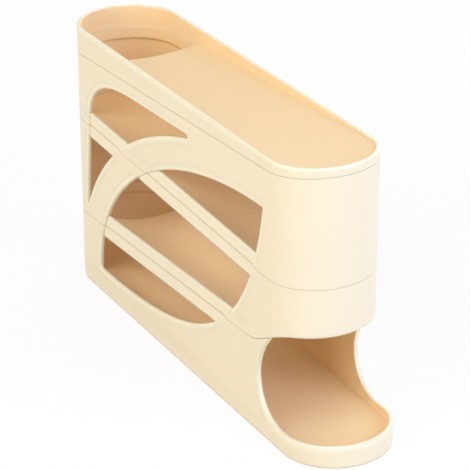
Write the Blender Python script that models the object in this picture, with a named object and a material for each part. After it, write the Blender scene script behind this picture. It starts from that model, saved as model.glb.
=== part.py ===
# Rolling egg dispenser: four moulded tiers stacked on each other, with sloping
# floors that hand over at alternate ends and an open tray at the front.
# +X points out of the tray, +Y runs across, +Z is up and the underside is at zero.
import math

import bmesh
import bpy

# Body and tray in plan, with the depth of their half oval ends
body_length = 0.350
body_width = 0.080
tray_reach = 0.028
back_end_depth = 0.0397
front_end_depth = 0.033
tray_end_depth = 0.0376

# Heights at the middle of the body, and the slope of the seams between the tiers
base_height = 0.0625
tier_pitch = 0.0648
top_height = 0.0141
seam_slope_share = 0.0425

# Walls, floors and fits
wall_thickness = 0.0032
floor_thickness = 0.0024
floor_embed = 0.0010
seat_gap = 0.0003
skirt_thickness = 0.0015
skirt_drop = 0.0050
skirt_root = 0.0040
skirt_clearance = 0.0003
seam_round = 0.0002
rim_round = 0.0012
mouth_round = 0.0011
cut_overrun = 0.0040

# Floors: each is a shallow trough, high at the sides
trough_lift = 0.0003
tier_trough_depth = 0.0068
top_trough_depth = 0.0039
base_trough_depth = 0.0050
base_floor_front_height = 0.0033
base_floor_slope_share = 0.028
back_hole_length = 0.0775
front_hole_length = 0.0520
nose_length = 0.0012

# Mouth of the base; places along the body are measured back from its front face
mouth_top_height = 0.0845
sweep_back = 0.058
sweep_front = 0.010
mouth_back = 0.0458
mouth_back_height = 0.0460
mouth_low_grip = 0.0330
mouth_low_grip_height = 0.0138
mouth_low_pull_height = 0.0260
lip_back = 0.0130
lip_back_height = 0.0146
lip_front_height = 0.0164
mouth_high_pull_height = 0.0580
mouth_high_grip = 0.0360
mouth_high_grip_height = 0.0735
mouth_corner = 0.0280
mouth_corner_height = 0.0793
mouth_corner_stop_share = 0.86
across_edge_share = 0.95

# Strips that carry the floor edges across the windows
strip_height = 0.0100
strip_recess = 0.0016
window_round = 0.0012

# Leaf window: an oval arch over a sweeping foot, measured back from the front face
arch_base_height = 0.0180
leaf_arch_center = 0.0354
leaf_post = 0.0593
leaf_top_margin = 0.0283
leaf_foot_height = 0.0189
leaf_foot_grip = 0.1299
leaf_side_grip = 0.0589
leaf_side_grip_height = 0.0586
leaf_top = 0.0401
leaf_corner_round = 0.0015

# Horn window: it follows the leaf's arch outside a band; places are measured from
# the back face, its foot rises from the lowest seam and its shoulder from the middle one
band_center_shift = 0.0086
band_foot = 0.0285
band_top = 0.0221
horn_top_margin = 0.0106
horn_tip_gap = 0.0032
horn_tip_reach = 0.0016
horn_foot_gap = 0.0008
horn_foot_rise = 0.0015
horn_foot_lift = 0.0021
horn_shoulder = 0.0467
horn_shoulder_rise = 0.0127
horn_shoulder_grip = 0.0508
horn_shoulder_grip_rise = 0.0400
horn_crown_grip = 0.0735
horn_crown = 0.1200

# Fineness of the curves
end_segments = 28
arch_segments = 30
curve_segments = 16
corner_segments = 4
round_segments = 3
seam_segments = 2
sweep_segments = 9
trough_segments = 10
halvings = 30

half_width = body_width / 2
total_length = body_length + tray_reach
back_face = -total_length / 2
body_front = back_face + body_length
tray_front = total_length / 2
body_middle = (back_face + body_front) / 2
body_height = base_height + 2 * tier_pitch + top_height
floor_inset = wall_thickness - floor_embed
weld_distance = seat_gap / 100
moulding_color = (0.895, 0.80, 0.60, 1.0)


def clear_scene():
    for thing in list(bpy.data.objects):
        bpy.data.objects.remove(thing, do_unlink=True)
    for mesh in list(bpy.data.meshes):
        bpy.data.meshes.remove(mesh)


def smooth_step(share):
    share = min(max(share, 0.0), 1.0)
    return share * share * (3.0 - 2.0 * share)


def seam_line(level, x):
    """Straight seam above the given tier; the slope changes sides at each tier."""
    side = 1.0 if level % 2 == 0 else -1.0
    return base_height + level * tier_pitch + side * seam_slope_share * (x - body_middle)


def seam_height(level, x):
    """Real seam; the lowest one sweeps up over the mouth at the front."""
    z = seam_line(level, x)
    if level == 0:
        share = smooth_step((x - body_front + sweep_back) / (sweep_back - sweep_front))
        z = z * (1.0 - share) + mouth_top_height * share
    return z


def blended(weights, points):
    return tuple(sum(w * p[j] for w, p in zip(weights, points)) for j in (0, 1))


def bezier(a, b, c, d, steps, stop_share=1.0):
    """Curve from a to d that is pulled towards b and c."""
    points = []
    for i in range(steps + 1):
        t = stop_share * i / steps
        weights = (1 - t) ** 3, 3 * t * (1 - t) ** 2, 3 * t * t * (1 - t), t ** 3
        points.append(blended(weights, (a, b, c, d)))
    return points


def mesh_object(name, verts, faces):
    mesh = bpy.data.meshes.new(name)
    mesh.from_pydata(verts, [], faces)
    shell = bmesh.new()
    shell.from_mesh(mesh)
    bmesh.ops.recalc_face_normals(shell, faces=shell.faces)
    shell.to_mesh(mesh)
    shell.free()
    thing = bpy.data.objects.new(name, mesh)
    bpy.context.scene.collection.objects.link(thing)
    return thing


def combine(target, tool, operation):
    """Boolean with the exact solver, then the tool is dropped."""
    step = target.modifiers.new(tool.name, 'BOOLEAN')
    step.operation = operation
    step.solver = 'EXACT'
    step.object = tool
    bpy.context.view_layer.update()
    evaluated = target.evaluated_get(bpy.context.evaluated_depsgraph_get())
    result = bpy.data.meshes.new_from_object(evaluated)
    target.modifiers.clear()
    target.data = result
    bpy.data.objects.remove(tool, do_unlink=True)


def sweep_stations(limit):
    """Places along the body, from the back, where the lowest seam bends."""
    step = (sweep_back - sweep_front) / sweep_segments
    places = [body_front - sweep_back + step * i for i in range(sweep_segments)]
    return [x for x in places if x < limit]


def plan(front, front_depth, inset):
    """Plan outline of a tier: flat sides with half oval ends."""
    points = []
    width = half_width - inset
    middle = front - front_depth
    for i in range(end_segments + 1):
        turn = math.pi * i / end_segments - math.pi / 2
        points.append((middle + (front_depth - inset) * math.cos(turn), width * math.sin(turn)))
    stations = sweep_stations(middle - nose_length)
    points += [(x, width) for x in reversed(stations)]
    middle = back_face + back_end_depth
    for i in range(end_segments + 1):
        turn = math.pi * i / end_segments + math.pi / 2
        points.append((middle + (back_end_depth - inset) * math.cos(turn), width * math.sin(turn)))
    points += [(x, -width) for x in stations]
    return points


def ring(name, front, front_depth, rows, limit=None):
    """Wall that follows the plan; each row gives an inset and a height over x."""
    loops = []
    for inset, height in rows:
        loop = plan(front, front_depth, inset)
        if limit is not None:
            start = next(i for i, p in enumerate(loop) if p[1] > 0 and p[0] < limit)
            loop = [p for p in loop[start:] if p[0] < limit]
        loops.append([(x, y, height(x)) for x, y in loop])
    count = len(loops[0])
    verts = [v for loop in loops for v in loop]
    faces = []
    spans = count if limit is None else count - 1
    total = len(rows)
    for r in range(total):
        for i in range(spans):
            a = r * count + i
            b = r * count + (i + 1) % count
            c = ((r + 1) % total) * count + (i + 1) % count
            d = ((r + 1) % total) * count + i
            faces.append((a, b, c, d))
    if limit is not None:
        faces.append([r * count for r in range(total)])
        faces.append([r * count + count - 1 for r in range(total)])
    return mesh_object(name, verts, faces)


def edge_rows(inset, way, height, lift, radius, rising):
    """Rows round one edge of a wall section, from its level end if it is rising."""
    steps = round_segments if radius > seam_round else seam_segments
    turns = [math.pi / 2 * i / steps for i in range(steps + 1)]
    if not rising:
        turns.reverse()
    rows = []
    for turn in turns:
        rise = lift * radius * (1 - math.cos(turn))
        rows.append((inset + way * radius * (1 - math.sin(turn)), lambda x, rise=rise: height(x) + rise))
    return rows


def rounded_wall(low, high, low_round, high_round):
    """Rows of a wall section: rounded outer edges, and a rounded inner one on a rim."""
    rows = edge_rows(0.0, 1, low, 1, low_round, True)
    rows += edge_rows(0.0, 1, high, -1, high_round, False)
    if high_round > seam_round:
        rows += edge_rows(wall_thickness, -1, high, -1, high_round, True)
    else:
        rows.append((wall_thickness, high))
    rows.append((wall_thickness, low))
    return rows


def trough(name, front, front_depth, start, stop, closed_ends, center, depth):
    """Floor between two places along x; its cross-section is a shallow trough."""
    middle_front = front - front_depth
    middle_back = back_face + back_end_depth
    inset = floor_inset
    stations = []
    back_depth = back_end_depth - inset
    front_reach = front_depth - inset
    steps = end_segments // 2
    if 'back' in closed_ends:
        for i in range(1, steps + 1):
            turn = math.pi / 2 * i / steps
            stations.append((middle_back - back_depth * math.cos(turn), math.sin(turn), 1.0))
    else:
        stations.append((start, 1.0, 1.0 / (round_segments + 1)))
        stations.append((start + nose_length, 1.0, 1.0))
    low = stations[-1][0] + nose_length
    high = middle_front if 'front' in closed_ends else stop
    stations += [(x, 1.0, 1.0) for x in sweep_stations(high - 2 * nose_length) if x > low]
    if 'front' in closed_ends:
        for i in range(steps):
            turn = math.pi / 2 * i / steps
            stations.append((middle_front + front_reach * math.sin(turn), math.cos(turn), 1.0))
    else:
        stations.append((stop - nose_length, 1.0, 1.0))
        stations.append((stop, 1.0, 1.0 / (round_segments + 1)))
    columns = [2.0 * i / trough_segments - 1.0 for i in range(trough_segments + 1)]
    width = half_width - inset
    verts = []
    for x, wide, thick in stations:
        for s in columns:
            y = s * width * wide
            z = center(x) + depth * (y / width) ** 2
            verts.append((x, y, z - floor_thickness * (1.0 - thick) / 2))
        for s in reversed(columns):
            y = s * width * wide
            z = center(x) + depth * (y / width) ** 2
            verts.append((x, y, z - floor_thickness * (1.0 + thick) / 2))
    loop = 2 * len(columns)
    faces = []
    for r in range(len(stations) - 1):
        for i in range(loop):
            a = r * loop + i
            b = r * loop + (i + 1) % loop
            faces.append((a, b, b + loop, a + loop))
    last = (len(stations) - 1) * loop
    faces.append(list(range(loop)))
    faces.append([last + i for i in range(loop)])
    return mesh_object(name, verts, faces)


def soft_corner(before, corner, after):
    """Short curve that replaces a sharp corner of an outline."""
    points = []
    for i in range(corner_segments + 1):
        t = i / corner_segments
        points.append(blended(((1 - t) ** 2, 2 * t * (1 - t), t * t), (before, corner, after)))
    return points


def leaf_arch():
    """Centre, reach and rise of the oval arch over the leaf window."""
    center = body_front - leaf_arch_center
    reach = center - back_face - leaf_post
    rise = seam_line(2, center) - leaf_top_margin - arch_base_height
    return center, reach, rise


def horn_arch():
    """Centre, reach and rise of the arch under the horn window."""
    center, reach, rise = leaf_arch()
    return center - band_center_shift, reach + band_foot - band_center_shift, rise + band_top


def arch_point(arch, turn):
    center, reach, rise = arch
    return center - reach * math.cos(turn), arch_base_height + rise * math.sin(turn)


def along(a, b, length):
    span = math.dist(a, b)
    return a[0] + (b[0] - a[0]) * length / span, a[1] + (b[1] - a[1]) * length / span


def trim_corner(points, corner, length):
    """Rounds one corner of a closed outline over the given length on both sides."""
    index = points.index(corner)
    rest = points[index + 1:] + points[:index]
    while math.dist(rest[0], corner) < length:
        rest.pop(0)
    while math.dist(rest[-1], corner) < length:
        rest.pop()
    return rest + soft_corner(along(corner, rest[-1], length), corner, along(corner, rest[0], length))


def leaf_outline():
    """Large side window: an oval arch over a sweeping curved foot."""
    arch = leaf_arch()
    center, reach, rise = arch
    foot = arch_point(arch, 0.0)[0]
    turn = math.acos((leaf_top - leaf_arch_center) / reach)
    foot_grip = (body_front - leaf_foot_grip, leaf_foot_height)
    side_grip = (body_front - leaf_side_grip, leaf_side_grip_height)
    sweep = bezier((foot, leaf_foot_height), foot_grip, side_grip, arch_point(arch, turn), curve_segments)
    step = (math.asin((leaf_foot_height - arch_base_height) / rise) - turn) / arch_segments
    over = [arch_point(arch, turn + step * i) for i in range(1, arch_segments)]
    points = trim_corner(sweep + over, sweep[0], leaf_corner_round)
    return trim_corner(points, sweep[-1], leaf_corner_round)


def horn_top(x):
    return seam_line(2, x) - horn_top_margin


def horn_tip_turn(arch, low):
    """Place on the arch, past a lower one, where the horn window has narrowed to its tip."""
    high = math.pi / 2
    for i in range(halvings):
        middle = (low + high) / 2
        x, z = arch_point(arch, middle)
        if horn_top(x) - z > horn_tip_gap:
            low = middle
        else:
            high = middle
    return low


def horn_outline():
    """Narrow side window outside the arch, with a rounded shoulder and narrow ends."""
    arch = horn_arch()
    foot_height = base_height + horn_foot_rise
    middle_seam = base_height + tier_pitch
    foot_turn = math.asin((foot_height - arch_base_height) / arch[2])
    step = (horn_tip_turn(arch, foot_turn) - foot_turn) / arch_segments
    inner = [arch_point(arch, foot_turn + step * i) for i in range(arch_segments + 1)]
    x, z = inner[-1]
    tip = []
    count = 2 * corner_segments
    middle = (z + horn_top(x)) / 2
    radius = (horn_top(x) - z) / 2
    for i in range(1, count):
        angle = math.pi * i / count - math.pi / 2
        tip.append((x + horn_tip_reach * math.cos(angle), middle + radius * math.sin(angle)))
    crown = back_face + horn_crown
    crown_grip = back_face + horn_crown_grip
    shoulder_grip = (back_face + horn_shoulder_grip, middle_seam + horn_shoulder_grip_rise)
    shoulder = (back_face + horn_shoulder, middle_seam + horn_shoulder_rise)
    outer = bezier((crown, horn_top(crown)), (crown_grip, horn_top(crown_grip)), shoulder_grip,
                   shoulder, curve_segments // 2)
    foot = (inner[0][0] - horn_foot_gap, foot_height + horn_foot_lift)
    return inner + tip + [(x, horn_top(x))] + outer + [foot]


def grown(points, distance):
    """Outline pushed outward by the distance; points run anticlockwise."""
    result = []
    count = len(points)
    for i in range(count):
        ax, az = points[i - 1]
        bx, bz = points[i]
        cx, cz = points[(i + 1) % count]
        first = math.hypot(bx - ax, bz - az)
        second = math.hypot(cx - bx, cz - bz)
        n1 = ((bz - az) / first, -(bx - ax) / first)
        n2 = ((cz - bz) / second, -(cx - bx) / second)
        nx = n1[0] + n2[0]
        nz = n1[1] + n2[1]
        size = max(nx * nx + nz * nz, 1.0)
        result.append((bx + 2 * distance * nx / size, bz + 2 * distance * nz / size))
    return result


def with_crossings(points, height):
    """Outline with a point added wherever it crosses a straight line over x."""
    result = []
    for i, b in enumerate(points):
        a = points[i - 1]
        da = a[1] - height(a[0])
        db = b[1] - height(b[0])
        if da * db < 0:
            t = da / (da - db)
            result.append((a[0] + (b[0] - a[0]) * t, a[1] + (b[1] - a[1]) * t))
        result.append(b)
    return result


def side_cutter(name, side, loops):
    """Cutter that lies across the side wall; loops give a depth and an outline."""
    verts = []
    for depth, points in loops:
        verts += [(x, side * (half_width - depth), z) for x, z in points]
    count = len(loops[0][1])
    faces = []
    for r in range(len(loops) - 1):
        for i in range(count):
            a = r * count + i
            b = r * count + (i + 1) % count
            faces.append((a, b, b + count, a + count))
    last = (len(loops) - 1) * count
    faces.append(list(range(count)))
    faces.append([last + i for i in range(count)])
    return mesh_object(name, verts, faces)


def recess_loops(points):
    """Recess with a rounded outer edge."""
    loops = [(-cut_overrun, grown(points, window_round))]
    for i in range(round_segments + 1):
        turn = math.pi / 2 * (1 - i / round_segments)
        in_share = 1 - math.sin(turn)
        out_share = 1 - math.cos(turn)
        loops.append((window_round * in_share, grown(points, window_round * out_share)))
    loops.append((strip_recess, points))
    return loops


def cut_windows(tier, outlines, low, high):
    """Recesses each window on both sides, then opens it between the strips."""
    def bottom(x):
        return seam_line(low, x) + strip_height

    def top(x):
        return seam_line(high, x) - strip_height

    for points in outlines:
        if low is not None:
            points = with_crossings(points, bottom)
        if high is not None:
            points = with_crossings(points, top)
        opening = points
        if low is not None:
            opening = [p for p in opening if p[1] > bottom(p[0]) - weld_distance]
        if high is not None:
            opening = [p for p in opening if p[1] < top(p[0]) + weld_distance]
        for side in (-1, 1):
            combine(tier, side_cutter('recess', side, recess_loops(points)), 'DIFFERENCE')
            through = [(-cut_overrun, opening), (wall_thickness + skirt_clearance, opening)]
            combine(tier, side_cutter('opening', side, through), 'DIFFERENCE')


def add_skirt(tier, level, limit=None):
    """Locating skirt under a tier; it drops inside the wall of the tier below."""
    def root_top(x):
        return seam_height(level, x) + seat_gap + skirt_root

    def root_foot(x):
        return seam_height(level, x) + seat_gap + seam_round

    def foot(x):
        return seam_height(level, x) - skirt_drop

    outer = wall_thickness + skirt_clearance
    inner = outer + skirt_thickness
    rows = [(floor_inset, root_top), (inner, root_top), (inner, foot), (outer, foot),
            (outer, root_foot), (floor_inset, root_foot)]
    combine(tier, ring('skirt', body_front, front_end_depth, rows, limit), 'UNION')


def moulding(name):
    """Satin cream plastic."""
    material = bpy.data.materials.new(name)
    material.use_nodes = True
    shader = material.node_tree.nodes['Principled BSDF']
    shader.inputs['Base Color'].default_value = moulding_color
    shader.inputs['Roughness'].default_value = 0.35
    shader.inputs['Metallic'].default_value = 0.0
    return material


def finish(tier):
    """Welds a tier, closes slivers that the cuts may leave, and sets its material and shading."""
    tier.data.materials.clear()
    tier.data.materials.append(moulding(tier.name + '_plastic'))
    for polygon in tier.data.polygons:
        polygon.material_index = 0
    shell = bmesh.new()
    shell.from_mesh(tier.data)
    bmesh.ops.remove_doubles(shell, verts=shell.verts, dist=weld_distance)
    bmesh.ops.dissolve_degenerate(shell, edges=shell.edges, dist=weld_distance)
    loose = [e for e in shell.edges if not e.link_faces]
    bmesh.ops.delete(shell, geom=loose, context='EDGES')
    bmesh.ops.holes_fill(shell, edges=shell.edges, sides=4)
    shell.to_mesh(tier.data)
    shell.free()
    tier.data.shade_smooth()
    tier.data.set_sharp_from_angle(angle=math.radians(30))


def tier_shell(name, level):
    """Wall and sloping floor of a tier that stands on the seam below it."""
    def low(x):
        return seam_height(level - 1, x) + seat_gap

    def high(x):
        return seam_height(level, x)

    def center(x):
        return low(x) + trough_lift + floor_thickness

    tier = ring(name, body_front, front_end_depth, rounded_wall(low, high, seam_round, seam_round))
    if level % 2:
        floor = trough('floor', body_front, front_end_depth, back_face + back_hole_length, None,
                       ('front',), center, tier_trough_depth)
    else:
        floor = trough('floor', body_front, front_end_depth, None, body_front - front_hole_length,
                       ('back',), center, tier_trough_depth)
    combine(tier, floor, 'UNION')
    return tier


def base_tier():
    """Lowest tier with the open mouth and the tray that catches what rolls down."""
    def low(x):
        return 0.0

    def high(x):
        return seam_height(0, x)

    def center(x):
        return base_floor_front_height + base_floor_slope_share * (tray_front - x)

    rows = rounded_wall(low, high, seam_round, seam_round)
    base = ring('base_tier', tray_front, tray_end_depth, rows)
    floor = trough('floor', tray_front, tray_end_depth, None, None, ('back', 'front'), center,
                   base_trough_depth)
    combine(base, floor, 'UNION')
    cut_windows(base, [leaf_outline()], None, 0)
    combine(base, mouth_cutter(), 'DIFFERENCE')
    round_mouth(base)
    return base


def mouth_outline():
    """Side view of the mouth: a rounded back edge that runs out into the low lip."""
    back = body_front - mouth_back
    middle = (back, mouth_back_height)
    corner = (body_front - mouth_corner, mouth_corner_height)
    high_grip = (body_front - mouth_high_grip, mouth_high_grip_height)
    upper = bezier(middle, (back, mouth_high_pull_height), high_grip, corner, curve_segments,
                   mouth_corner_stop_share)
    lip = (body_front - lip_back, lip_back_height)
    low_grip = (body_front - mouth_low_grip, mouth_low_grip_height)
    lower = bezier(middle, (back, mouth_low_pull_height), low_grip, lip, curve_segments)
    points = list(reversed(upper)) + lower[1:]
    points.append((tray_front, lip_front_height))
    points.append((tray_front + cut_overrun, lip_front_height))
    points.append((tray_front + cut_overrun, mouth_top_height + cut_overrun))
    points.append((points[0][0], mouth_top_height + cut_overrun))
    return points


def mouth_cutter():
    loops = [(-cut_overrun, mouth_outline()), (body_width + cut_overrun, mouth_outline())]
    return side_cutter('mouth', 1, loops)


def near_outline(x, z, points):
    for i in range(len(points) - 1):
        (ax, az), (bx, bz) = points[i], points[i + 1]
        span = math.dist((ax, az), (bx, bz))
        t = min(max(((x - ax) * (bx - ax) + (z - az) * (bz - az)) / span ** 2, 0.0), 1.0)
        if math.hypot(x - ax - t * (bx - ax), z - az - t * (bz - az)) < seat_gap / 10:
            return True
    return False


def round_mouth(base):
    """Rounds the inner and outer edges all along the mouth."""
    edge_line = mouth_outline()[:-3]
    shell = bmesh.new()
    shell.from_mesh(base.data)
    bmesh.ops.remove_doubles(shell, verts=shell.verts, dist=weld_distance)
    on_line = {v for v in shell.verts if near_outline(v.co.x, v.co.z, edge_line)}
    edges = []
    for e in shell.edges:
        a, b = e.verts
        if a in on_line and b in on_line and len(e.link_faces) == 2:
            normals = [f.normal for f in e.link_faces]
            across = abs((b.co - a.co).normalized().y)
            if normals[0].angle(normals[1]) > math.radians(45) and across < across_edge_share:
                edges.append(e)
    bmesh.ops.bevel(shell, geom=edges, offset=mouth_round, segments=round_segments, profile=0.5,
                    affect='EDGES', clamp_overlap=True)
    shell.to_mesh(base.data)
    shell.free()


def lower_tier():
    """Second tier; its floor runs down to the back and sweeps up over the mouth."""
    tier = tier_shell('lower_tier', 1)
    cut_windows(tier, [leaf_outline(), horn_outline()], 0, 1)
    add_skirt(tier, 0, body_front - sweep_back)
    return tier


def upper_tier():
    """Third tier; its floor runs down to the front."""
    tier = tier_shell('upper_tier', 2)
    cut_windows(tier, [leaf_outline(), horn_outline()], 1, None)
    add_skirt(tier, 1)
    return tier


def top_tray():
    """Shallow tray on top with a level rim and a floor that runs down to the back."""
    def low(x):
        return seam_height(2, x) + seat_gap

    def high(x):
        return body_height

    def center(x):
        return low(x) + trough_lift + floor_thickness

    tray = ring('top_tray', body_front, front_end_depth, rounded_wall(low, high, seam_round, rim_round))
    floor = trough('floor', body_front, front_end_depth, back_face + back_hole_length, None,
                   ('front',), center, top_trough_depth)
    combine(tray, floor, 'UNION')
    add_skirt(tray, 2)
    return tray


clear_scene()
for tier in (base_tier(), lower_tier(), upper_tier(), top_tray()):
    finish(tier)
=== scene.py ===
import math

import bpy
from bpy.props import (
    FloatProperty,
    FloatVectorProperty,
    IntProperty,
    PointerProperty,
)
from mathutils import Matrix, Vector


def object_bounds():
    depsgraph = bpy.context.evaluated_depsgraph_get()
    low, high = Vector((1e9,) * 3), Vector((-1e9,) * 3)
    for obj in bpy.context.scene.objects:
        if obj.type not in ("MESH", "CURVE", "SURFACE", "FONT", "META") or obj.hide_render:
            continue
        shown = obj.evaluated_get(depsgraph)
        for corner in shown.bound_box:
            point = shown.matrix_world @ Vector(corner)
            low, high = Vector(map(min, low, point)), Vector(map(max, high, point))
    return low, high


bl_info = {
    "name": "Rolling egg dispenser looks",
    "version": (1, 0, 0),
    "blender": (4, 5, 0),
    "location": "3D View > Sidebar > Egg dispenser",
    "description": "Satin plastic, floor, lights and camera for the stacked egg dispenser",
    "category": "Object",
}

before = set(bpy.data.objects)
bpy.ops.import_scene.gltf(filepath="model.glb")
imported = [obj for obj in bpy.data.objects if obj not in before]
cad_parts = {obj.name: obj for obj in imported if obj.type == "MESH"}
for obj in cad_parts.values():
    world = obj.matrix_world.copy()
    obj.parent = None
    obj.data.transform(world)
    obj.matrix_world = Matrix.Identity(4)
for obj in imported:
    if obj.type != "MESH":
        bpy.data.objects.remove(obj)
cad_low, cad_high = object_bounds()
# Middle of the closed body along X; the front tray stands out beyond it
BODY_MIDDLE = -0.014
# Seams that each moulding touches, counted from the lowest
SEAMS = {"base_tier": (0,), "lower_tier": (0, 1), "upper_tier": (1, 2), "top_tray": (2,)}
# Shift of each moulding's clouds and grain, so that no two look alike
PATTERN_SHIFTS = {
    "base_tier": (0.0, 0.0, 0.0),
    "lower_tier": (0.31, 0.17, 0.0),
    "upper_tier": (0.72, 0.41, 0.0),
    "top_tray": (1.13, 0.83, 0.0),
}
# Share of the flow lines in the clouding, and of the grain in the roughness
FLOW_SHARE = 0.15
GRAIN_SHARE = 0.4
# The flow lines run upright, because height counts for only this much in their pattern
FLOW_SQUASH = 0.08
# Fineness of each pattern's noise, and the value about which a noise strays
CLOUD_DETAIL = 4.0
FLOW_DETAIL = 3.0
GRAIN_DETAIL = 2.0
RIPPLE_DETAIL = 0.0
NOISE_MIDDLE = 0.5
# Soft border of a seam, and of the zone round it with no painted highlight or shade, as shares of
# their widths
SEAM_BLEND_SHARE = 0.1
CLEAR_BLEND_SHARE = 0.5
BEVEL_SAMPLES = 8
FACE_WEIGHT = 100
# Camera sensor in millimetres, and the distances between which it sees
SENSOR_WIDTH = 36.0
NEAREST = 0.01
FARTHEST = 50.0
WHITE = (1.0, 1.0, 1.0, 1.0)


class Wire:
    """A socket of a node tree; sums, differences and products add Math nodes."""

    def __init__(self, tree, socket):
        self.tree = tree
        self.socket = socket

    def math(self, operation, first, second):
        values = {0: first, 1: second}
        return self.tree.add("ShaderNodeMath", {"operation": operation}, values).out(0)

    def __add__(self, other):
        return self.math("ADD", self, other)

    def __radd__(self, other):
        return self.math("ADD", other, self)

    def __sub__(self, other):
        return self.math("SUBTRACT", self, other)

    def __rsub__(self, other):
        return self.math("SUBTRACT", other, self)

    def __mul__(self, other):
        return self.math("MULTIPLY", self, other)

    def __rmul__(self, other):
        return self.math("MULTIPLY", other, self)

    def at_least(self, other):
        return self.math("MAXIMUM", self, other)

    def unsigned(self):
        """The value without its sign."""
        return self.math("ABSOLUTE", self, 0.0)

    def root(self):
        return self.math("SQRT", self, 0.0)

    def clamped(self):
        """The value, kept between zero and one."""
        return self.tree.add("ShaderNodeClamp", {}, {"Value": self}).out(0)

    def past(self, start, blend):
        """Zero up to a start and one beyond it, with an even change over the blend."""
        return ((self - start) * (1.0 / blend)).clamped()


class Added:
    """A node that was added to a tree, with its outputs as wires."""

    def __init__(self, tree, node):
        self.tree = tree
        self.node = node

    def out(self, name):
        return Wire(self.tree, self.node.outputs[name])


class Tree:
    """A node tree and the one method that adds nodes to it."""

    def __init__(self, nodes):
        self.nodes = nodes
        nodes.nodes.clear()

    def add(self, kind, settings=None, values=None):
        """Adds a node: its settings are set first, then the values or links of its sockets."""
        node = self.nodes.nodes.new(kind)
        for name, value in (settings or {}).items():
            if name == "stops":
                self.set_stops(node.color_ramp, value)
            else:
                setattr(node, name, value)
        for name, value in (values or {}).items():
            if isinstance(value, Wire):
                self.nodes.links.new(value.socket, node.inputs[name])
            else:
                node.inputs[name].default_value = value
        return Added(self, node)

    def set_stops(self, ramp, stops):
        while len(ramp.elements) > 1:
            ramp.elements.remove(ramp.elements[0])
        ramp.elements[0].position = stops[0][0]
        ramp.elements[0].color = stops[0][1]
        for position, color in stops[1:]:
            ramp.elements.new(position).color = color

    def noise(self, place, size, detail, roughness=0.5):
        """Noise from 0 to 1 whose lumps are about the given length across."""
        values = {"Vector": place, "Scale": 1.0 / size, "Detail": detail, "Roughness": roughness}
        return self.add("ShaderNodeTexNoise", {}, values).out("Fac")

    def stretched(self, place, factors, shift):
        """Place scaled by a factor for each axis and then moved."""
        settings = {"operation": "MULTIPLY_ADD"}
        return self.add("ShaderNodeVectorMath", settings, {0: place, 1: factors, 2: shift}).out(0)

    def mix(self, share, first, second, blend="MIX"):
        """Colour between two others."""
        settings = {"data_type": "RGBA", "blend_type": blend}
        return self.add("ShaderNodeMix", settings, {0: share, 6: first, 7: second}).out(2)


def opaque(color):
    return (color[0], color[1], color[2], 1.0)


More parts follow.
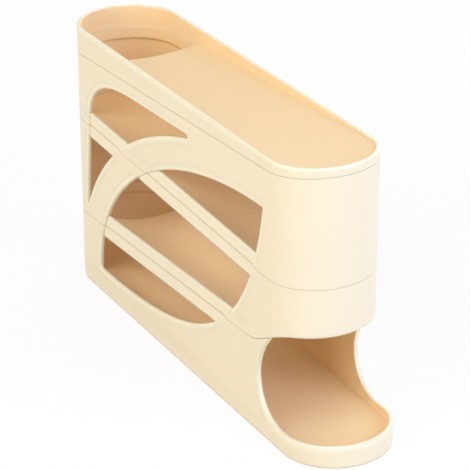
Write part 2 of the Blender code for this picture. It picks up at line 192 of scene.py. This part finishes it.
class PlasticSettings(bpy.types.PropertyGroup):
    """Sizes and colours of the moulded plastic."""

    color: FloatVectorProperty(
        name="Colour",
        description="Cream of the plastic under plain light",
        default=(0.905, 0.780, 0.545),
        size=3,
        min=0.0,
        max=1.0,
        subtype="COLOR",
    )
    # Painted shade: the faces inside the walls get a darker, warmer cream that stands in for the
    # shade and warm bounce inside them.
    inner_painted_shade_color: FloatVectorProperty(
        name="Inner colour",
        description="Warmer cream of the faces inside the walls",
        default=(0.915, 0.670, 0.375),
        size=3,
        min=0.0,
        max=1.0,
        subtype="COLOR",
    )
    # Painted highlight: lighter cream along the rounded edges, standing in for the light that the
    # edges catch.
    painted_highlight_color: FloatVectorProperty(
        name="Edge colour",
        description="Lighter cream along the rounded edges, where the plastic is polished",
        default=(0.990, 0.890, 0.655),
        size=3,
        min=0.0,
        max=1.0,
        subtype="COLOR",
    )
    # Painted shade: darker cream in a band at the foot of the painted highlight along an edge.
    foot_painted_shade_color: FloatVectorProperty(
        name="Bead foot colour",
        description="Slightly shaded cream at the foot of the bead along an edge",
        default=(0.750, 0.650, 0.415),
        size=3,
        min=0.0,
        max=1.0,
        subtype="COLOR",
    )
    strip_color: FloatVectorProperty(
        name="Strip colour",
        description="Cream of the recessed strips and of the cut faces of the windows",
        default=(0.930, 0.800, 0.565),
        size=3,
        min=0.0,
        max=1.0,
        subtype="COLOR",
    )
    # Painted shade: darker cream on the lips between two mouldings, standing in for the shade in
    # the seam.
    seam_painted_shade_color: FloatVectorProperty(
        name="Seam colour",
        description="Shaded cream of the lips between two mouldings",
        default=(0.700, 0.580, 0.385),
        size=3,
        min=0.0,
        max=1.0,
        subtype="COLOR",
    )
    # The lighter edge between these depths is painted highlight on the rounded edges.
    edge_start: FloatProperty(
        name="Edge start",
        description="Depth below the outer face at which the lighter edge begins",
        default=0.00016,
        min=0.0,
        precision=6,
        unit="LENGTH",
    )
    edge_full: FloatProperty(
        name="Edge full",
        description="Depth below the outer face from which the lighter edge has its full colour",
        default=0.00032,
        min=0.0,
        precision=6,
        unit="LENGTH",
    )
    edge_end: FloatProperty(
        name="Edge end",
        description="Depth below the outer face at which the lighter edge ends",
        default=0.0013,
        min=0.0,
        precision=5,
        unit="LENGTH",
    )
    skin: FloatProperty(
        name="Skin",
        description="Thickness of the outer skin of a wall, which keeps the outer colour",
        default=0.0026,
        min=0.0,
        unit="LENGTH",
    )
    skin_blend: FloatProperty(
        name="Skin blend",
        description="Length over which the outer colour gives way to the inner one",
        default=0.0005,
        min=0.0,
        precision=5,
        unit="LENGTH",
    )
    edge_width: FloatProperty(
        name="Edge width",
        description="Distance from an edge within which the light rolls round it",
        default=0.0030,
        min=0.0001,
        precision=5,
        unit="LENGTH",
    )
    # Width of the zone along an edge that holds the painted highlight and the painted shade at its
    # foot.
    painted_bead_width: FloatProperty(
        name="Bead width",
        description="Distance from an edge within which its lighter bead and the foot of it lie",
        default=0.0090,
        min=0.0001,
        precision=5,
        unit="LENGTH",
    )
    edge_gain: FloatProperty(
        name="Bead gain",
        description="How fast the lighter bead comes in with the bend of an edge",
        default=9.0,
        min=0.0,
    )
    foot_gain: FloatProperty(
        name="Bead foot gain",
        description="How fast the shade at the foot of a bead comes in with the bend of an edge",
        default=170.0,
        min=0.0,
    )
    foot_height: FloatProperty(
        name="Plain height",
        description="Height above the underside below which the wall has no bead",
        default=0.0050,
        min=0.0001,
        precision=5,
        unit="LENGTH",
    )
    sweep_start: FloatProperty(
        name="Sweep start",
        description="Place along the body from which the lowest seam sweeps up over the mouth",
        default=0.098,
        unit="LENGTH",
    )
    sweep_low: FloatProperty(
        name="Sweep bottom",
        description="Height at which the seam's sweep over the mouth begins",
        default=0.058,
        unit="LENGTH",
    )
    sweep_high: FloatProperty(
        name="Sweep top",
        description="Height at which the seam's sweep over the mouth ends",
        default=0.092,
        unit="LENGTH",
    )
    sweep_blend: FloatProperty(
        name="Sweep blend",
        description="Length over which the bead narrows towards the sweep",
        default=0.006,
        min=0.0001,
        precision=5,
        unit="LENGTH",
    )
    seam_height: FloatProperty(
        name="Seam height",
        description="Height of the lowest seam at the middle of the body",
        default=0.06265,
        min=0.0,
        precision=5,
        unit="LENGTH",
    )
    seam_pitch: FloatProperty(
        name="Seam pitch",
        description="Height from one seam to the next at the middle of the body",
        default=0.0648,
        min=0.0,
        unit="LENGTH",
    )
    seam_slope: FloatProperty(
        name="Seam slope",
        description="Rise of a seam over its length; the sign changes from one seam to the next",
        default=0.0425,
    )
    seam_width: FloatProperty(
        name="Seam width",
        description="Width of a seam with its two rounded lips",
        default=0.0008,
        min=0.0001,
        precision=5,
        unit="LENGTH",
    )
    seam_guard: FloatProperty(
        name="Seam guard",
        description="Width along a seam in which no edge rolls and no bead lies",
        default=0.0060,
        min=0.0001,
        precision=5,
        unit="LENGTH",
    )
    seam_back: FloatProperty(
        name="Seam back",
        description="Place along the body, at the back, from which the shade in a seam is seen",
        default=-0.186,
        unit="LENGTH",
    )
    seam_front: FloatProperty(
        name="Seam front",
        description="Place along the body, at the front, at which the shade in a seam gives out",
        default=0.118,
        unit="LENGTH",
    )
    seam_fade: FloatProperty(
        name="Seam fade",
        description="Length over which the shade in a seam comes and goes",
        default=0.020,
        min=0.001,
        unit="LENGTH",
    )
    back_oval: FloatProperty(
        name="Back oval",
        description="Depth of the half oval at the back of the plan",
        default=0.0397,
        min=0.001,
        unit="LENGTH",
    )
    front_oval: FloatProperty(
        name="Front oval",
        description="Depth of the half oval at the front of the tiers",
        default=0.033,
        min=0.001,
        unit="LENGTH",
    )
    tray_oval: FloatProperty(
        name="Tray oval",
        description="Depth of the half oval at the front of the tray",
        default=0.0376,
        min=0.001,
        unit="LENGTH",
    )
    cloud_share: FloatProperty(
        name="Clouding",
        description="How far the colour strays between lighter and darker clouds",
        default=0.025,
        min=0.0,
        max=0.2,
        subtype="FACTOR",
    )
    cloud_size: FloatProperty(
        name="Cloud size",
        description="Width of the clouds in the colour",
        default=0.045,
        min=0.005,
        unit="LENGTH",
    )
    flow_size: FloatProperty(
        name="Flow line size",
        description="Width of the upright flow lines left by moulding",
        default=0.006,
        min=0.001,
        unit="LENGTH",
    )
    grain_size: FloatProperty(
        name="Grain size",
        description="Width of the fine grain of the mould's surface",
        default=0.00045,
        min=0.0001,
        unit="LENGTH",
    )
    grain_depth: FloatProperty(
        name="Grain depth",
        description="Depth of the fine grain",
        default=0.000006,
        min=0.0,
        unit="LENGTH",
    )
    ripple_size: FloatProperty(
        name="Ripple size",
        description="Width of the soft ripples in a moulded wall",
        default=0.035,
        min=0.005,
        unit="LENGTH",
    )
    ripple_depth: FloatProperty(
        name="Ripple depth",
        description="Depth of the soft ripples",
        default=0.00010,
        min=0.0,
        unit="LENGTH",
    )
    roughness: FloatProperty(
        name="Roughness",
        description="Roughness of the satin finish",
        default=0.30,
        min=0.05,
        max=1.0,
        subtype="FACTOR",
    )
    inner_roughness: FloatProperty(
        name="Inner roughness",
        description="Roughness of the matte faces inside the walls",
        default=0.60,
        min=0.05,
        max=1.0,
        subtype="FACTOR",
    )
    roughness_drift: FloatProperty(
        name="Roughness drift",
        description="How far the roughness strays",
        default=0.05,
        min=0.0,
        max=0.3,
        subtype="FACTOR",
    )
    shine: FloatProperty(
        name="Shine",
        description="Strength of the plastic's own reflection",
        default=0.42,
        min=0.0,
        max=1.0,
        subtype="FACTOR",
    )
    refraction: FloatProperty(
        name="Refraction",
        description="Index of refraction of the plastic",
        default=1.49,
        min=1.0,
    )
    coat: FloatProperty(
        name="Gloss skin",
        description="Strength of the glossier skin on the plastic",
        default=0.10,
        min=0.0,
        max=1.0,
        subtype="FACTOR",
    )
    coat_roughness: FloatProperty(
        name="Gloss skin roughness",
        description="Roughness of the glossier skin",
        default=0.22,
        min=0.0,
        max=1.0,
        subtype="FACTOR",
    )
    glow: FloatProperty(
        name="Translucence",
        description="Share of light that spreads inside the plastic",
        default=0.10,
        min=0.0,
        max=1.0,
        subtype="FACTOR",
    )
    glow_depth: FloatProperty(
        name="Translucence depth",
        description="How far light spreads inside the plastic",
        default=0.0020,
        min=0.0,
        unit="LENGTH",
    )
    glow_spread: FloatVectorProperty(
        name="Translucence spread",
        description="How far red, green and blue light spread, as shares of the depth",
        default=(1.0, 0.62, 0.32),
        size=3,
        min=0.0,
        max=1.0,
    )
    weld: FloatProperty(
        name="Weld distance",
        description="Corners closer than this are one corner when the surface is smoothed",
        default=0.000002,
        min=0.0,
        precision=7,
        unit="LENGTH",
    )
    crease: FloatProperty(
        name="Crease angle",
        description="Edges that bend more than this stay crisp",
        default=math.radians(28),
        min=0.0,
        max=math.pi,
        subtype="ANGLE",
    )


class StageSettings(bpy.types.PropertyGroup):
    """Floor, lights and camera."""

    floor_size: FloatProperty(
        name="Floor size",
        description="Width of the floor",
        default=6.0,
        min=1.0,
        unit="LENGTH",
    )
    floor_drop: FloatProperty(
        name="Floor drop",
        description="Gap between the underside and the floor",
        default=0.0002,
        min=0.0,
        precision=5,
        unit="LENGTH",
    )
    floor_color: FloatVectorProperty(
        name="Floor colour",
        description="Colour of the light that the floor sends up to the object",
        default=(0.72, 0.69, 0.62),
        size=3,
        min=0.0,
        max=1.0,
        subtype="COLOR",
    )
    shadow_share: FloatProperty(
        name="Shadow strength",
        description="How much of the floor's own shading is seen over plain white",
        default=0.18,
        min=0.0,
        max=1.0,
        subtype="FACTOR",
    )
    shadow_reach: FloatProperty(
        name="Shadow reach",
        description="Distance from the middle of the floor within which its shading is seen",
        default=0.45,
        min=0.0,
        unit="LENGTH",
    )
    shadow_fade: FloatProperty(
        name="Shadow fade",
        description="Length over which the floor's shading gives way to plain white",
        default=0.60,
        min=0.01,
        unit="LENGTH",
    )
    sky: FloatProperty(
        name="Sky light",
        description="Strength of the even light from all round",
        default=0.28,
        min=0.0,
    )
    key_place: FloatVectorProperty(
        name="Key light place",
        description="Where the large light in front of the tray stands",
        default=(1.55, 0.48, 0.75),
        size=3,
        subtype="TRANSLATION",
        unit="LENGTH",
    )
    key_size: FloatProperty(
        name="Key light size",
        description="Width of the large light in front",
        default=1.6,
        min=0.1,
        unit="LENGTH",
    )
    key_power: FloatProperty(
        name="Key light power",
        description="Power of the large light in front",
        default=21.6,
        min=0.0,
        unit="POWER",
    )
    key_tint: FloatVectorProperty(
        name="Key light tint",
        description="Colour of the large light in front",
        default=(0.85, 0.965, 1.32),
        size=3,
        min=0.0,
        max=2.0,
        subtype="COLOR",
    )
    side_place: FloatVectorProperty(
        name="Side light place",
        description="Where the light beside the windows stands",
        default=(0.12, -1.70, 1.15),
        size=3,
        subtype="TRANSLATION",
        unit="LENGTH",
    )
    side_size: FloatProperty(
        name="Side light size",
        description="Width of the light beside the windows",
        default=1.8,
        min=0.1,
        unit="LENGTH",
    )
    side_power: FloatProperty(
        name="Side light power",
        description="Power of the light beside the windows",
        default=27.3,
        min=0.0,
        unit="POWER",
    )
    side_tint: FloatVectorProperty(
        name="Side light tint",
        description="Colour of the light beside the windows",
        default=(1.0, 1.0, 1.0),
        size=3,
        min=0.0,
        max=2.0,
        subtype="COLOR",
    )
    top_place: FloatVectorProperty(
        name="Top light place",
        description="Where the light over the rim hangs",
        default=(0.1, 0.2, 2.1),
        size=3,
        subtype="TRANSLATION",
        unit="LENGTH",
    )
    top_size: FloatProperty(
        name="Top light size",
        description="Width of the light over the rim",
        default=1.4,
        min=0.1,
        unit="LENGTH",
    )
    top_power: FloatProperty(
        name="Top light power",
        description="Power of the light over the rim",
        default=6.0,
        min=0.0,
        unit="POWER",
    )
    top_tint: FloatVectorProperty(
        name="Top light tint",
        description="Colour of the light over the rim",
        default=(1.0, 1.0, 1.0),
        size=3,
        min=0.0,
        max=2.0,
        subtype="COLOR",
    )
    back_place: FloatVectorProperty(
        name="Back light place",
        description="Where the light behind the object stands",
        default=(-0.9, 1.7, 1.0),
        size=3,
        subtype="TRANSLATION",
        unit="LENGTH",
    )
    back_size: FloatProperty(
        name="Back light size",
        description="Width of the light behind the object",
        default=1.6,
        min=0.1,
        unit="LENGTH",
    )
    back_power: FloatProperty(
        name="Back light power",
        description="Power of the light behind the object",
        default=14.0,
        min=0.0,
        unit="POWER",
    )
    back_tint: FloatVectorProperty(
        name="Back light tint",
        description="Colour of the light behind the object",
        default=(1.0, 1.0, 1.0),
        size=3,
        min=0.0,
        max=2.0,
        subtype="COLOR",
    )
    camera_place: FloatVectorProperty(
        name="Camera place",
        description="Where the camera stands",
        default=(1.23127, -0.67489, 0.75623),
        size=3,
        precision=5,
        subtype="TRANSLATION",
        unit="LENGTH",
    )
    camera_azimuth: FloatProperty(
        name="Camera azimuth",
        description="Turn of the camera round the object; zero looks along +Y",
        default=math.radians(61.028),
        subtype="ANGLE",
    )
    camera_elevation: FloatProperty(
        name="Camera elevation",
        description="Height of the camera above the horizon, as an angle",
        default=math.radians(25.351),
        subtype="ANGLE",
    )
    camera_roll: FloatProperty(
        name="Camera roll",
        description="Tilt of the picture",
        default=math.radians(0.119),
        subtype="ANGLE",
    )
    lens: FloatProperty(
        name="Focal length",
        description="Focal length for a sensor 36 mm wide",
        default=166.02,
        min=1.0,
        unit="CAMERA",
    )
    floor_segments: IntProperty(
        name="Floor segments",
        description="Number of faces along each side of the floor",
        default=8,
        min=1,
    )


def smoothing_nodes(settings):
    """Geometry nodes that weld a moulding's faces together and shade its curves smooth."""
    group = bpy.data.node_groups.new("moulding_smoothing", "GeometryNodeTree")
    group.interface.new_socket("Geometry", in_out="INPUT", socket_type="NodeSocketGeometry")
    group.interface.new_socket("Geometry", in_out="OUTPUT", socket_type="NodeSocketGeometry")
    tree = Tree(group)
    shape = tree.add("NodeGroupInput").out(0)
    welded = tree.add(
        "GeometryNodeMergeByDistance", {}, {"Geometry": shape, "Distance": settings.weld}
    ).out(0)
    rounded = tree.add(
        "GeometryNodeSetShadeSmooth", {"domain": "FACE"}, {"Geometry": welded, "Shade Smooth": True}
    ).out(0)
    bend = tree.add("GeometryNodeInputMeshEdgeAngle").out(0)
    soft = tree.add(
        "FunctionNodeCompare",
        {"data_type": "FLOAT", "operation": "LESS_THAN"},
        {"A": bend, "B": settings.crease},
    ).out(0)
    creased = tree.add(
        "GeometryNodeSetShadeSmooth",
        {"domain": "EDGE"},
        {"Geometry": rounded, "Shade Smooth": soft},
    ).out(0)
    tree.add("NodeGroupOutput", {}, {0: creased})
    return group


def smooth_moulding(moulding, settings):
    """Shades the flat walls flat and the curved ends round."""
    group = bpy.data.node_groups.get("moulding_smoothing") or smoothing_nodes(settings)
    smoothing = moulding.modifiers.new("smoothing", "NODES")
    smoothing.node_group = group
    weights = moulding.modifiers.new("even_normals", "WEIGHTED_NORMAL")
    weights.mode = "FACE_AREA"
    weights.weight = FACE_WEIGHT
    weights.keep_sharp = True


def depth_below(split, settings, bounds, front_oval):
    """Depth of a point below the outer faces of a moulding, square to its plan."""
    low, high = bounds
    half_width = (high.y - low.y) / 2
    front = high.x - front_oval
    back = low.x + settings.back_oval
    x = split.out("X")
    beyond = (x - front).at_least(0.0)
    before = (back - x).at_least(0.0)
    along = beyond * (1.0 / front_oval) + before * (1.0 / settings.back_oval)
    across = split.out("Y") * (1.0 / half_width)
    return (1.0 - (along * along + across * across).root()) * half_width


def skin_color(tree, depth, settings):
    """Wall, painted highlight on the edge, strip and painted shade inside, one after the other with
    the depth.
    """
    full = settings.skin + settings.skin_blend
    stops = (
        (0.0, settings.color),
        (settings.edge_start, settings.color),
        (settings.edge_full, settings.painted_highlight_color),
        (settings.edge_end, settings.painted_highlight_color),
        (settings.edge_end + settings.skin_blend / 2, settings.strip_color),
        (settings.skin, settings.strip_color),
        (full, settings.inner_painted_shade_color),
    )
    stops = [(place / full, opaque(color)) for place, color in stops]
    share = depth * (1.0 / full)
    return tree.add("ShaderNodeValToRGB", {"stops": stops}, {"Fac": share}).out("Color")


def near_seams(split, width, blend_share, settings, seams):
    """One within half a width of the given seams, and zero from a share of the width beyond."""
    found = []
    for seam in seams:
        slope = settings.seam_slope if seam % 2 == 0 else -settings.seam_slope
        height = settings.seam_height + seam * settings.seam_pitch - slope * BODY_MIDDLE
        above = split.out("Z") - split.out("X") * slope - height
        found.append(1.0 - above.unsigned().past(width / 2, width * blend_share))
    share = found[0]
    for other in found[1:]:
        share = share + other
    return share


def near_sweep(split, settings):
    """One round the seam's sweep over the mouth and zero elsewhere."""
    blend = settings.sweep_blend
    ahead = split.out("X").past(settings.sweep_start, blend)
    above = split.out("Z").past(settings.sweep_low, blend)
    return ahead * (above - split.out("Z").past(settings.sweep_high, blend))


def rolled_normal(tree, radius):
    """Normal that rolls round the edges within a radius."""
    return tree.add("ShaderNodeBevel", {"samples": BEVEL_SAMPLES}, {"Radius": radius}).out("Normal")


def bend_between(tree, normal, plain):
    """Zero where a normal is the face's own, and more the further it is turned from it."""
    match = tree.add("ShaderNodeVectorMath", {"operation": "DOT_PRODUCT"}, {0: normal, 1: plain})
    return 1.0 - match.out("Value")


def rolled_edges(tree, split, settings, seams):
    """Normal that rolls round the edges, with the shares of their painted highlight and painted
    shade.

    The painted highlight is wide, but narrow near a seam, and the seam's own lips have none.
    """
    plain = tree.add("ShaderNodeNewGeometry").out("Normal")
    wide = rolled_normal(tree, settings.painted_bead_width)
    narrow = rolled_normal(tree, settings.edge_width)
    guard = near_seams(split, settings.seam_guard, SEAM_BLEND_SHARE, settings, seams)
    clear = 1.0 - near_seams(split, settings.painted_bead_width, CLEAR_BLEND_SHARE, settings, seams)
    clear = clear * (1.0 - near_sweep(split, settings))
    normal = tree.add(
        "ShaderNodeMix", {"data_type": "VECTOR"}, {0: guard, 4: narrow, 5: plain}
    ).out(1)
    # The wide bend gives the painted highlight along the edges and the painted shade at its foot.
    wide_bend = bend_between(tree, wide, plain)
    wide_bead = wide_bend.past(0.0, 1.0 / settings.edge_gain)
    narrow_bead = bend_between(tree, narrow, plain).past(0.0, 1.0 / settings.edge_gain)
    kept = split.out("Z").past(settings.foot_height, settings.foot_height)
    painted_highlight = (wide_bead * clear + narrow_bead * (1.0 - clear) * (1.0 - guard)) * kept
    foot = wide_bend.past(0.0, 1.0 / settings.foot_gain) * (1.0 - painted_highlight) * clear * kept
    return normal, painted_highlight, foot


def plastic(name, settings, shift, bounds, front_oval, seams):
    """Satin cream plastic, painted highlight and shade at edges, faint clouds, flow lines, ripples
    and fine grain.
    """
    material = bpy.data.materials.new(name)
    material.use_nodes = True
    tree = Tree(material.node_tree)
    place = tree.add("ShaderNodeTexCoord").out("Object")
    moved = tree.stretched(place, (1.0, 1.0, 1.0), shift)
    upright = tree.stretched(place, (1.0, 1.0, FLOW_SQUASH), shift)
    clouds = tree.noise(moved, settings.cloud_size, CLOUD_DETAIL)
    flow = tree.noise(upright, settings.flow_size, FLOW_DETAIL)
    grain = tree.noise(moved, settings.grain_size, GRAIN_DETAIL)
    ripples = tree.noise(moved, settings.ripple_size, RIPPLE_DETAIL)

    split = tree.add("ShaderNodeSeparateXYZ", {}, {0: place})
    depth = depth_below(split, settings, bounds, front_oval)
    inner = depth.past(settings.skin, settings.skin_blend)
    outer = 1.0 - inner
    x = split.out("X")
    side = x.past(settings.seam_back, settings.seam_fade)
    side = side - x.past(settings.seam_front, settings.seam_fade)
    rolled, painted_highlight, foot = rolled_edges(tree, split, settings, seams)
    # Painted shade on the lips of the seams, kept to the flat sides.
    lips = near_seams(split, settings.seam_width, SEAM_BLEND_SHARE, settings, seams)
    lips = lips * depth.past(settings.edge_start, settings.edge_start) * outer * side

    color = skin_color(tree, depth, settings)
    # Painted shade at the foot of the edges, painted highlight along them, and painted shade in the
    # seams.
    color = tree.mix(foot * side * outer, color, opaque(settings.foot_painted_shade_color))
    color = tree.mix(painted_highlight * outer, color, opaque(settings.painted_highlight_color))
    color = tree.mix(lips, color, opaque(settings.seam_painted_shade_color))
    light = opaque([1.0 + settings.cloud_share] * 3)
    dark = opaque([1.0 - settings.cloud_share] * 3)
    cloud = tree.mix(clouds * (1.0 - FLOW_SHARE) + flow * FLOW_SHARE, dark, light)
    color = tree.mix(1.0, color, cloud, "MULTIPLY")
    stray = clouds * (1.0 - GRAIN_SHARE) + grain * GRAIN_SHARE - NOISE_MIDDLE
    matte = settings.inner_roughness - settings.roughness
    roughness = inner * matte + stray * (2.0 * settings.roughness_drift) + settings.roughness

    soft = tree.add(
        "ShaderNodeBump",
        {},
        {"Strength": 1.0, "Distance": settings.ripple_depth, "Height": ripples, "Normal": rolled},
    ).out("Normal")
    fine = tree.add(
        "ShaderNodeBump",
        {},
        {"Strength": 1.0, "Distance": settings.grain_depth, "Height": grain, "Normal": soft},
    ).out("Normal")
    shader = tree.add(
        "ShaderNodeBsdfPrincipled",
        {"subsurface_method": "RANDOM_WALK"},
        {
            "Base Color": color,
            "Roughness": roughness,
            "Normal": fine,
            "IOR": settings.refraction,
            "Specular IOR Level": settings.shine,
            "Coat Weight": outer * settings.coat,
            "Coat Roughness": settings.coat_roughness,
            "Subsurface Weight": settings.glow,
            "Subsurface Scale": settings.glow_depth,
            "Subsurface Radius": settings.glow_spread,
        },
    ).out("BSDF")
    tree.add("ShaderNodeOutputMaterial", {}, {"Surface": shader})
    return material


def reach_of(moulding):
    """Lowest and highest corner of a moulding, in its own frame."""
    corners = [Vector(corner) for corner in moulding.bound_box]
    low = Vector([min(corner[axis] for corner in corners) for axis in range(3)])
    high = Vector([max(corner[axis] for corner in corners) for axis in range(3)])
    return low, high


def dress_moulding(context, node, front_oval):
    """Gives one packed moulding its plastic and its smooth shading."""
    settings = context.scene.egg_dispenser_plastic
    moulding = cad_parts[node]
    bounds = reach_of(moulding)
    name = node + "_cream_plastic"
    shift = PATTERN_SHIFTS[node]
    material = plastic(name, settings, shift, bounds, front_oval, SEAMS[node])
    moulding.data.materials.clear()
    moulding.data.materials.append(material)
    smooth_moulding(moulding, settings)


class EGGDISPENSER_OT_base_tier(bpy.types.Operator):
    """Finish the base tier with its mouth and front tray"""

    bl_idname = "egg_dispenser.base_tier"
    bl_label = "Base tier"

    def execute(self, context):
        oval = context.scene.egg_dispenser_plastic.tray_oval
        dress_moulding(context, "base_tier", oval)
        return {"FINISHED"}


class EGGDISPENSER_OT_lower_tier(bpy.types.Operator):
    """Finish the lower tier, which sweeps up over the mouth"""

    bl_idname = "egg_dispenser.lower_tier"
    bl_label = "Lower tier"

    def execute(self, context):
        oval = context.scene.egg_dispenser_plastic.front_oval
        dress_moulding(context, "lower_tier", oval)
        return {"FINISHED"}


class EGGDISPENSER_OT_upper_tier(bpy.types.Operator):
    """Finish the upper tier with the tops of both windows"""

    bl_idname = "egg_dispenser.upper_tier"
    bl_label = "Upper tier"

    def execute(self, context):
        oval = context.scene.egg_dispenser_plastic.front_oval
        dress_moulding(context, "upper_tier", oval)
        return {"FINISHED"}


class EGGDISPENSER_OT_top_tray(bpy.types.Operator):
    """Finish the top tray with its rounded rim"""

    bl_idname = "egg_dispenser.top_tray"
    bl_label = "Top tray"

    def execute(self, context):
        oval = context.scene.egg_dispenser_plastic.front_oval
        dress_moulding(context, "top_tray", oval)
        return {"FINISHED"}


def floor_object(settings):
    """Square floor, centred under the object."""
    count = settings.floor_segments + 1
    step = settings.floor_size / settings.floor_segments
    start = -settings.floor_size / 2
    corners = [
        (start + step * column, start + step * row, -settings.floor_drop)
        for row in range(count)
        for column in range(count)
    ]
    faces = []
    for row in range(count - 1):
        for column in range(count - 1):
            first = row * count + column
            faces.append((first, first + 1, first + count + 1, first + count))
    mesh = bpy.data.meshes.new("floor")
    mesh.from_pydata(corners, [], faces)
    floor = bpy.data.objects.new("floor", mesh)
    bpy.context.scene.collection.objects.link(floor)
    return floor


def seen_plainly(tree):
    """One where the camera, a reflection or a clear piece looks; zero for bounced light."""
    path = tree.add("ShaderNodeLightPath")
    seen = path.out("Is Camera Ray") + path.out("Is Glossy Ray") + path.out("Is Transmission Ray")
    return seen.clamped()


def floor_material(settings):
    """Pale floor that keeps shadows and looks nearly white."""
    material = bpy.data.materials.new("pale_floor")
    material.use_nodes = True
    tree = Tree(material.node_tree)
    bounce = tree.add("ShaderNodeBsdfDiffuse", {}, {"Color": opaque(settings.floor_color)}).out(0)
    paint = tree.add("ShaderNodeBsdfDiffuse", {}, {"Color": WHITE}).out(0)
    white = tree.add("ShaderNodeEmission", {}, {"Strength": 1.0}).out(0)
    place = tree.add("ShaderNodeTexCoord").out("Object")
    away = tree.add("ShaderNodeVectorMath", {"operation": "LENGTH"}, {0: place}).out("Value")
    near = 1.0 - away.past(settings.shadow_reach, settings.shadow_fade)
    share = near * settings.shadow_share
    pale = tree.add("ShaderNodeMixShader", {}, {0: share, 1: white, 2: paint}).out(0)
    seen = seen_plainly(tree)
    surface = tree.add("ShaderNodeMixShader", {}, {0: seen, 1: bounce, 2: pale}).out(0)
    tree.add("ShaderNodeOutputMaterial", {}, {"Surface": surface})
    return material


def sky_light(settings):
    """Even light from all round that looks white where it is seen."""
    world = bpy.data.worlds.new("studio")
    world.use_nodes = True
    tree = Tree(world.node_tree)
    share = seen_plainly(tree)
    strength = share * (1.0 - settings.sky) + settings.sky
    surface = tree.add("ShaderNodeBackground", {}, {"Color": WHITE, "Strength": strength}).out(0)
    tree.add("ShaderNodeOutputWorld", {}, {"Surface": surface})
    bpy.context.scene.world = world


def soft_light(name, place, size, power, tint):
    """Square light that faces the middle of the object."""
    data = bpy.data.lights.new(name, "AREA")
    data.shape = "SQUARE"
    data.size = size
    data.energy = power
    data.color = tint
    light = bpy.data.objects.new(name, data)
    light.location = place
    aim = (cad_low + cad_high) / 2 - Vector(place)
    light.rotation_euler = aim.to_track_quat("-Z", "Y").to_euler()
    bpy.context.scene.collection.objects.link(light)


def camera(settings):
    """Camera that looks down on the windows, the rim and the front tray."""
    turn = settings.camera_azimuth
    rise = settings.camera_elevation
    roll = settings.camera_roll
    back = Vector(
        (math.sin(turn) * math.cos(rise), -math.cos(turn) * math.cos(rise), math.sin(rise))
    )
    level = Vector((math.cos(turn), math.sin(turn), 0.0))
    upward = back.cross(level)
    right = level * math.cos(roll) - upward * math.sin(roll)
    above = level * math.sin(roll) + upward * math.cos(roll)
    data = bpy.data.cameras.new("camera")
    data.sensor_fit = "HORIZONTAL"
    data.sensor_width = SENSOR_WIDTH
    data.lens = settings.lens
    data.clip_start = NEAREST
    data.clip_end = FARTHEST
    seen = bpy.data.objects.new("camera", data)
    facing = Matrix((right, above, back)).transposed().to_4x4()
    seen.matrix_world = Matrix.Translation(settings.camera_place) @ facing
    bpy.context.scene.collection.objects.link(seen)
    bpy.context.scene.camera = seen


class EGGDISPENSER_OT_stage(bpy.types.Operator):
    """Set up the floor, the soft lights and the camera"""

    bl_idname = "egg_dispenser.stage"
    bl_label = "Stage"

    def execute(self, context):
        settings = context.scene.egg_dispenser_stage
        floor_object(settings).data.materials.append(floor_material(settings))
        sky_light(settings)
        for name in ("key", "side", "top", "back"):
            place = getattr(settings, name + "_place")
            size = getattr(settings, name + "_size")
            power = getattr(settings, name + "_power")
            tint = getattr(settings, name + "_tint")
            soft_light(name + "_light", place, size, power, tint)
        camera(settings)
        context.scene.view_settings.view_transform = "Standard"
        return {"FINISHED"}


class EGGDISPENSER_PT_panel(bpy.types.Panel):
    """Lists the steps and the settings of the egg dispenser"""

    bl_idname = "EGGDISPENSER_PT_panel"
    bl_label = "Egg dispenser"
    bl_space_type = "VIEW_3D"
    bl_region_type = "UI"
    bl_category = "Egg dispenser"

    def draw(self, context):
        layout = self.layout
        for step in STEPS:
            layout.operator(step.bl_idname)
        for group in (context.scene.egg_dispenser_plastic, context.scene.egg_dispenser_stage):
            column = layout.column()
            for name in group.__annotations__:
                column.prop(group, name)


STEPS = (
    EGGDISPENSER_OT_base_tier,
    EGGDISPENSER_OT_lower_tier,
    EGGDISPENSER_OT_upper_tier,
    EGGDISPENSER_OT_top_tray,
    EGGDISPENSER_OT_stage,
)
CLASSES = (PlasticSettings, StageSettings) + STEPS + (EGGDISPENSER_PT_panel,)


def register():
    for item in CLASSES:
        bpy.utils.register_class(item)
    bpy.types.Scene.egg_dispenser_plastic = PointerProperty(type=PlasticSettings)
    bpy.types.Scene.egg_dispenser_stage = PointerProperty(type=StageSettings)


def unregister():
    del bpy.types.Scene.egg_dispenser_stage
    del bpy.types.Scene.egg_dispenser_plastic
    for item in reversed(CLASSES):
        bpy.utils.unregister_class(item)


def main():
    register()
    bpy.ops.egg_dispenser.base_tier()
    bpy.ops.egg_dispenser.lower_tier()
    bpy.ops.egg_dispenser.upper_tier()
    bpy.ops.egg_dispenser.top_tray()
    bpy.ops.egg_dispenser.stage()


if __name__ == "__main__":
    main()
